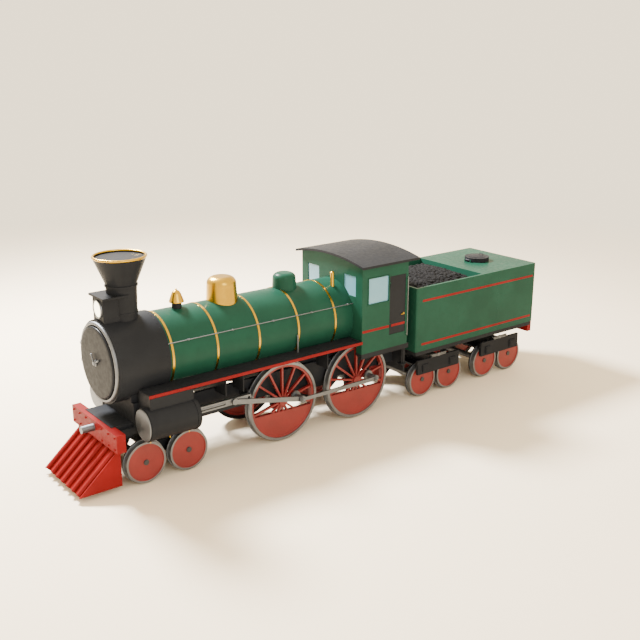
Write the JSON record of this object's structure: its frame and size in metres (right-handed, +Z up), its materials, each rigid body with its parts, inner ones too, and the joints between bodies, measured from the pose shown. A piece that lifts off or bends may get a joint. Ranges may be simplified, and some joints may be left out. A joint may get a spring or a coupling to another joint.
{
  "type": "steam locomotive with tender",
  "caption": "Full-size steam locomotive with leading bogie, spoked driving wheels, rods, flared chimney, pilot, cab and a bogie tender.",
  "frame": {"origin": "under the middle of the whole length, on the centre line, level with the lowest points of the wheel flanges", "axes": "+X forward to the pilot, +Y to the engine's left, +Z up"},
  "size_m": [12.3494, 2.5898, 4.2311],
  "materials": {
    "black_paint": "satin black paint on iron",
    "green_paint": "semi-gloss dark green coach paint",
    "red_paint": "semi-gloss red paint",
    "brass": "polished brass",
    "bright_steel": "ground and oiled steel",
    "window_glass": "pale blue flat glass",
    "lamp_glass": "warm lit lens",
    "coal": "lump coal, matt black"
  },
  "bodies": {
    "engine": {"main_frame": "black_paint", "front_deck": "black_paint", "buffer_beam": "red_paint", "front_drawbar": "bright_steel", "pilot": "red_paint", "boiler": "green_paint", "boiler_bands": "brass", "smokebox": "black_paint", "chimney": "black_paint", "chimney_rim": "brass", "headlamp": "black_paint", "headlamp_lens": "lamp_glass", "bell_stand": "black_paint", "bell": "brass", "steam_dome": "brass", "sand_dome": "green_paint", "whistle": "brass", "handrails": "bright_steel", "running_boards": "black_paint", "running_board_edges": "red_paint", "cylinders": "black_paint", "cylinder_covers": "bright_steel", "slide_bars": "bright_steel", "cab_front": "green_paint", "cab_sides": "green_paint", "cab_roof": "black_paint", "cab_floor": "black_paint", "cab_windows": "window_glass", "backhead": "black_paint"},
    "smokebox_door": {"smokebox_door": "black_paint", "smokebox_ring": "bright_steel"},
    "cab_door_left": {"cab_door_left": "black_paint"},
    "cab_door_right": {"cab_door_right": "black_paint"},
    "leading_bogie": {"leading_bogie_frame": "black_paint"},
    "leading_axle_1": {"leading_wheelset_1": "red_paint"},
    "leading_axle_2": {"leading_wheelset_2": "red_paint"},
    "driving_axle_1": {"driving_wheels_1": "red_paint", "driving_tyres_1": "bright_steel", "crank_pins_1": "bright_steel"},
    "driving_axle_2": {"driving_wheels_2": "red_paint", "driving_tyres_2": "bright_steel", "crank_pins_2": "bright_steel"},
    "coupling_rod_left": {"coupling_rod_left": "bright_steel"},
    "coupling_rod_right": {"coupling_rod_right": "bright_steel"},
    "main_rod_left": {"main_rod_left": "bright_steel"},
    "main_rod_right": {"main_rod_right": "bright_steel"},
    "crosshead_left": {"crosshead_left": "bright_steel"},
    "crosshead_right": {"crosshead_right": "bright_steel"},
    "tender": {"tender_frame": "black_paint", "tender_tank": "green_paint", "coal_heap": "coal", "tender_beam": "red_paint", "rear_drawbar": "bright_steel"},
    "filler_lid": {"filler_lid": "black_paint"},
    "tender_bogie_1": {"tender_bogie_1": "black_paint"},
    "tender_bogie_2": {"tender_bogie_2": "black_paint"},
    "tender_axle_1": {"tender_wheelset_1": "red_paint"},
    "tender_axle_2": {"tender_wheelset_2": "red_paint"},
    "tender_axle_3": {"tender_wheelset_3": "red_paint"},
    "tender_axle_4": {"tender_wheelset_4": "red_paint"}
  },
  "joints": [
    {"name": "smokebox_door_hinge", "type": "hinge", "parent": "engine", "child": "smokebox_door", "pos_m": [5.21433, -0.811, 2.276], "axis": [0, 0, -1], "range_deg": [0, 110]},
    {"name": "cab_door_left_hinge", "type": "hinge", "parent": "engine", "child": "cab_door_left", "pos_m": [-1.02367, 1.042, 2.478], "axis": [0, 0, -1], "range_deg": [0, 100]},
    {"name": "cab_door_right_hinge", "type": "hinge", "parent": "engine", "child": "cab_door_right", "pos_m": [-1.02367, -1.042, 2.478], "axis": [0, 0, 1], "range_deg": [0, 100]},
    {"name": "leading_bogie_swivel", "type": "hinge", "parent": "engine", "child": "leading_bogie", "pos_m": [4.36433, 0, 1.006], "axis": [0, 0, 1], "range_deg": [-4, 4]},
    {"name": "leading_axle_1_spin", "type": "hinge", "parent": "leading_bogie", "child": "leading_axle_1", "pos_m": [4.81933, 0, 0.434], "axis": [0, 1, 0], "continuous": true},
    {"name": "leading_axle_2_spin", "type": "hinge", "parent": "leading_bogie", "child": "leading_axle_2", "pos_m": [3.90933, 0, 0.434], "axis": [0, 1, 0], "continuous": true},
    {"name": "driving_axle_1_spin", "type": "hinge", "parent": "engine", "child": "driving_axle_1", "pos_m": [1.66433, 0, 0.864], "axis": [0, 1, 0], "continuous": true},
    {"name": "driving_axle_2_spin", "type": "hinge", "parent": "engine", "child": "driving_axle_2", "pos_m": [-0.31567, 0, 0.864], "axis": [0, 1, 0], "continuous": true},
    {"name": "coupling_rod_left_pin", "type": "hinge", "parent": "driving_axle_1", "child": "coupling_rod_left", "pos_m": [1.37965, 1.072, 0.92898], "axis": [0, 1, 0], "continuous": true},
    {"name": "main_rod_left_pin", "type": "hinge", "parent": "driving_axle_1", "child": "main_rod_left", "pos_m": [1.37965, 1.028, 0.92898], "axis": [0, 1, 0], "continuous": true},
    {"name": "crosshead_left_slide", "type": "slide", "parent": "engine", "child": "crosshead_left", "axis": [1, 0, 0], "range_m": [-0.033, 0.569]},
    {"name": "coupling_rod_right_pin", "type": "hinge", "parent": "driving_axle_1", "child": "coupling_rod_right", "pos_m": [1.37965, -1.072, 0.92898], "axis": [0, 1, 0], "continuous": true},
    {"name": "main_rod_right_pin", "type": "hinge", "parent": "driving_axle_1", "child": "main_rod_right", "pos_m": [1.37965, -1.028, 0.92898], "axis": [0, 1, 0], "continuous": true},
    {"name": "crosshead_right_slide", "type": "slide", "parent": "engine", "child": "crosshead_right", "axis": [1, 0, 0], "range_m": [-0.033, 0.569]},
    {"name": "tender_drawbar", "type": "hinge", "parent": "engine", "child": "tender", "pos_m": [-1.35567, 0, 1.126], "axis": [0, 0, 1], "range_deg": [-5, 5]},
    {"name": "filler_lid_hinge", "type": "hinge", "parent": "tender", "child": "filler_lid", "pos_m": [-4.53367, 0, 2.795], "axis": [0, 1, 0], "range_deg": [0, 105]},
    {"name": "tender_bogie_1_swivel", "type": "hinge", "parent": "tender", "child": "tender_bogie_1", "pos_m": [-2.73567, 0, 1.076], "axis": [0, 0, 1], "range_deg": [-5, 5]},
    {"name": "tender_axle_1_spin", "type": "hinge", "parent": "tender_bogie_1", "child": "tender_axle_1", "pos_m": [-2.30067, 0, 0.429], "axis": [0, 1, 0], "continuous": true},
    {"name": "tender_axle_2_spin", "type": "hinge", "parent": "tender_bogie_1", "child": "tender_axle_2", "pos_m": [-3.17067, 0, 0.429], "axis": [0, 1, 0], "continuous": true},
    {"name": "tender_bogie_2_swivel", "type": "hinge", "parent": "tender", "child": "tender_bogie_2", "pos_m": [-4.85567, 0, 1.076], "axis": [0, 0, 1], "range_deg": [-5, 5]},
    {"name": "tender_axle_3_spin", "type": "hinge", "parent": "tender_bogie_2", "child": "tender_axle_3", "pos_m": [-4.42067, 0, 0.429], "axis": [0, 1, 0], "continuous": true},
    {"name": "tender_axle_4_spin", "type": "hinge", "parent": "tender_bogie_2", "child": "tender_axle_4", "pos_m": [-5.29067, 0, 0.429], "axis": [0, 1, 0], "continuous": true}
  ],
  "couplings": [
    {"joint": "driving_axle_2_spin", "follows": "driving_axle_1_spin", "ratio": 1},
    {"joint": "coupling_rod_left_pin", "follows": "driving_axle_1_spin", "ratio": -1},
    {"joint": "main_rod_left_pin", "follows": "driving_axle_1_spin", "ratio": -1},
    {"joint": "coupling_rod_right_pin", "follows": "driving_axle_1_spin", "ratio": -1},
    {"joint": "main_rod_right_pin", "follows": "driving_axle_1_spin", "ratio": -1}
  ]
}
